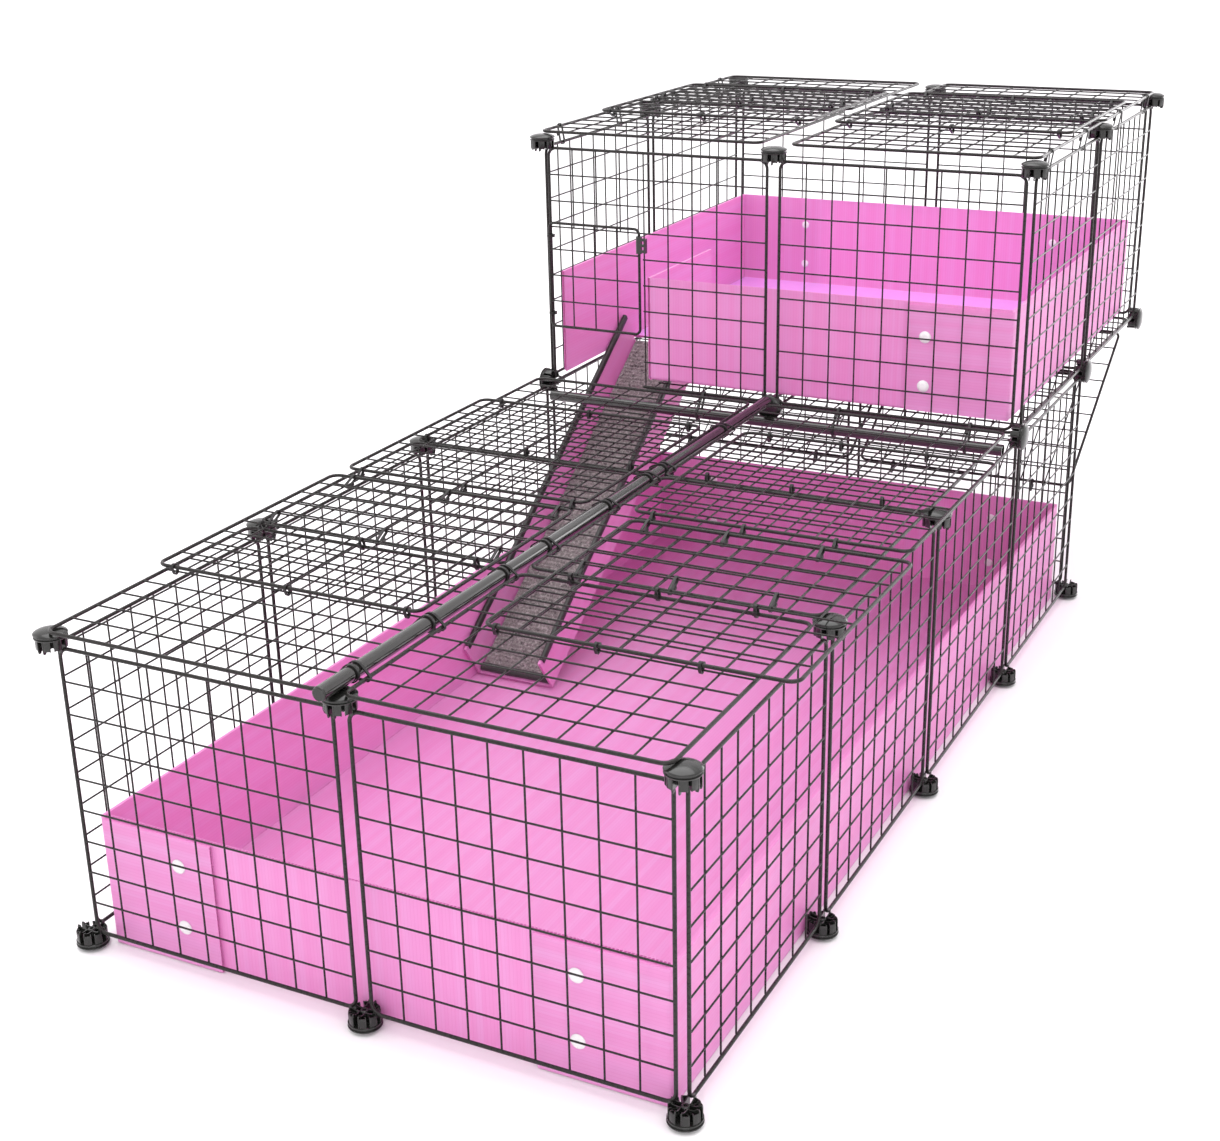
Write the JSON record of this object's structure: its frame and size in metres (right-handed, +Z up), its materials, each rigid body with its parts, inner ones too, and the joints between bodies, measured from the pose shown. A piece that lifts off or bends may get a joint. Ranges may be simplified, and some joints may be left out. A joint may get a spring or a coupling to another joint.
{
  "type": "wire rabbit cage",
  "caption": "Two-level rabbit cage of square black wire grids on push-fit connectors, with pink corrugated trays, felt ramp, hinged wire lids and a small wire door.",
  "frame": {"origin": "on the floor, under the middle of the base tray", "axes": "+X across the front to the viewer's right, +Y back towards the loft, +Z up"},
  "size_m": [0.7885, 1.8767, 0.7608],
  "materials": {
    "black_wire": "satin black coating on steel wire",
    "black_plastic": "glossy moulded black plastic",
    "black_tube": "glossy black coated tube",
    "tie_nylon": "black nylon cable tie",
    "pink_corrugated": "slightly translucent twin-wall corrugated sheet",
    "white_plastic": "white push rivet",
    "trim_rubber": "black flexible edge trim",
    "charcoal_felt": "speckled ribbed felt"
  },
  "bodies": {
    "frame": {"base_front_left_grid": "black_wire", "base_front_right_grid": "black_wire", "base_back_left_grid": "black_wire", "base_back_right_grid": "black_wire", "base_left_grid_1": "black_wire", "base_left_grid_2": "black_wire", "base_left_grid_3": "black_wire", "base_left_grid_4": "black_wire", "base_right_grid_1": "black_wire", "base_right_grid_2": "black_wire", "base_right_grid_3": "black_wire", "base_right_grid_4": "black_wire", "loft_doorway_grid": "black_wire", "loft_front_right_grid": "black_wire", "loft_back_left_grid": "black_wire", "loft_back_right_grid": "black_wire", "loft_left_grid_1": "black_wire", "loft_left_grid_2": "black_wire", "loft_right_grid_1": "black_wire", "loft_right_grid_2": "black_wire", "loft_floor_ramp_grid": "black_wire", "loft_floor_front_right_grid": "black_wire", "loft_floor_back_left_grid": "black_wire", "loft_floor_back_right_grid": "black_wire", "overhang_brace_grids": "black_wire", "base_tray": "pink_corrugated", "loft_tray": "pink_corrugated", "tray_rivets": "white_plastic", "ridge_tube": "black_tube", "ridge_tube_caps": "black_plastic", "cross_tube": "black_tube", "foot_connectors": "black_plastic", "grid_connectors": "black_plastic", "fixed_ties": "tie_nylon"},
    "lid_left_wing": {"lid_left_grid_1": "black_wire", "lid_left_grid_2": "black_wire", "lid_left_grid_3": "black_wire", "lid_left_grid_4": "black_wire", "lid_left_grid_5": "black_wire", "lid_left_ties": "tie_nylon"},
    "lid_right_wing": {"lid_right_grid_1": "black_wire", "lid_right_grid_2": "black_wire", "lid_right_grid_3": "black_wire", "lid_right_grid_4": "black_wire", "lid_right_grid_5": "black_wire", "lid_right_ties": "tie_nylon"},
    "loft_lid_left_wing": {"loft_lid_left_grid_1": "black_wire", "loft_lid_left_grid_2": "black_wire", "loft_lid_left_grid_3": "black_wire", "loft_lid_left_ties": "tie_nylon"},
    "loft_lid_right_wing": {"loft_lid_right_grid_1": "black_wire", "loft_lid_right_grid_2": "black_wire", "loft_lid_right_grid_3": "black_wire", "loft_lid_right_ties": "tie_nylon"},
    "loft_door": {"loft_door": "black_wire", "door_hinge_ties": "tie_nylon"},
    "door_latch": {"door_latch": "black_plastic"},
    "ramp": {"ramp_channel": "pink_corrugated", "ramp_edge_trims": "trim_rubber", "ramp_felt_mat": "charcoal_felt"}
  },
  "joints": [
    {"name": "lid_left_hinge", "type": "hinge", "parent": "frame", "child": "lid_left_wing", "pos_m": [0, -0.73, 0.3945], "axis": [0, 1, -0.0097], "range_deg": [0, 56]},
    {"name": "lid_right_hinge", "type": "hinge", "parent": "frame", "child": "lid_right_wing", "pos_m": [0, -0.73, 0.3945], "axis": [0, -1, 0.0097], "range_deg": [0, 56]},
    {"name": "loft_lid_left_hinge", "type": "hinge", "parent": "frame", "child": "loft_lid_left_wing", "pos_m": [-0.36885, 0.73, 0.7485], "axis": [0, -1, 0], "range_deg": [0, 85]},
    {"name": "loft_lid_right_hinge", "type": "hinge", "parent": "frame", "child": "loft_lid_right_wing", "pos_m": [0.36885, 0.73, 0.7485], "axis": [0, 1, 0], "range_deg": [0, 85]},
    {"name": "loft_door_hinge", "type": "hinge", "parent": "frame", "child": "loft_door", "pos_m": [-0.35535, 0.365, 0.539], "axis": [0, 0, -1], "range_deg": [0, 165]},
    {"name": "door_latch_pivot", "type": "hinge", "parent": "loft_door", "child": "door_latch", "pos_m": [-0.207, 0.36, 0.594], "axis": [0, 0, -1], "range_deg": [0, 90]},
    {"name": "ramp_lift", "type": "hinge", "parent": "frame", "child": "ramp", "pos_m": [-0.276, 0.60512, 0.37412], "axis": [-1, 0, 0], "range_deg": [0, 12]}
  ]
}
